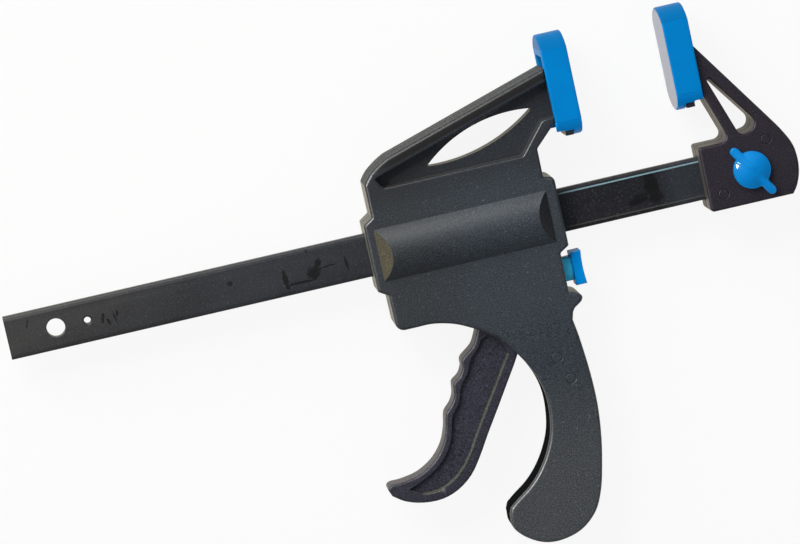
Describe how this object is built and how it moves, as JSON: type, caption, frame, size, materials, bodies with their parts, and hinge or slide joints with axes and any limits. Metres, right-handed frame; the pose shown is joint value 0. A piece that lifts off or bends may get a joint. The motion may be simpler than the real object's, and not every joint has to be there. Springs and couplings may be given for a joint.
{
  "type": "quick release bar clamp",
  "caption": "Quick release bar clamp: flat steel bar, sliding pistol-grip head with squeeze trigger and release lever, padded jaws, and a fixed jaw locked by a wing knob.",
  "frame": {"origin": "centre of the hole in the bar's free end, at mid thickness", "axes": "X runs along the bar towards the fixed jaw, Y points from the handle to the jaws, Z is the thickness, with the knob on +Z; the clamp lies on its -Z side"},
  "size_m": [0.3685, 0.2292, 0.0313],
  "materials": {
    "bar_steel": "blackened steel with rub marks",
    "shell": "fine spark-textured glass-filled nylon",
    "pad": "smooth moulded",
    "knob": "smooth moulded",
    "zinc_steel": "zinc plated",
    "spring_steel": "drawn wire"
  },
  "bodies": {
    "bar_and_jaw": {"bar": "bar_steel", "jaw_half_front": "shell", "jaw_half_rear": "shell", "jaw_pad": "pad", "jaw_screws": "zinc_steel"},
    "head": {"head_shell_front": "shell", "head_shell_rear": "shell", "head_pad": "pad", "head_screws": "zinc_steel", "trigger_pin": "zinc_steel", "drive_spring": "spring_steel", "spring_washer": "zinc_steel", "brake_spring": "spring_steel"},
    "trigger": {"trigger": "shell"},
    "drive_lever": {"drive_lever": "zinc_steel"},
    "brake_lever": {"brake_lever": "zinc_steel", "release_cap": "knob"},
    "lock_knob": {"wing_knob": "knob", "lock_pin": "zinc_steel", "lock_pin_clip": "spring_steel"}
  },
  "joints": [
    {"name": "head_slide", "type": "slide", "parent": "bar_and_jaw", "child": "head", "axis": [1, 0, 0], "range_m": [-0.125, 0.044]},
    {"name": "trigger_squeeze", "type": "hinge", "parent": "head", "child": "trigger", "pos_m": [0.2, -0.038, 0], "axis": [0, 0, 1], "range_deg": [0, 26], "stiffness_Nm_per_rad": 0.4, "springref_deg": -8.59},
    {"name": "drive_lever_slide", "type": "slide", "parent": "head", "child": "drive_lever", "axis": [1, 0, 0], "range_m": [-0.0083, 0], "deforming": ["drive_spring"]},
    {"name": "brake_lever_tilt", "type": "hinge", "parent": "head", "child": "brake_lever", "pos_m": [0.2295, 0.013, 0], "axis": [0, 0, 1], "range_deg": [-5, 0], "stiffness_Nm_per_rad": 0.6, "springref_deg": 5.73, "deforming": ["brake_spring"]},
    {"name": "knob_turn", "type": "hinge", "parent": "bar_and_jaw", "child": "lock_knob", "pos_m": [0.324, 0, 0], "axis": [0, 0, 1], "range_deg": [0, 90]}
  ],
  "couplings": [
    {"joint": "drive_lever_slide", "follows": "trigger_squeeze", "m_per_rad": -0.018}
  ]
}
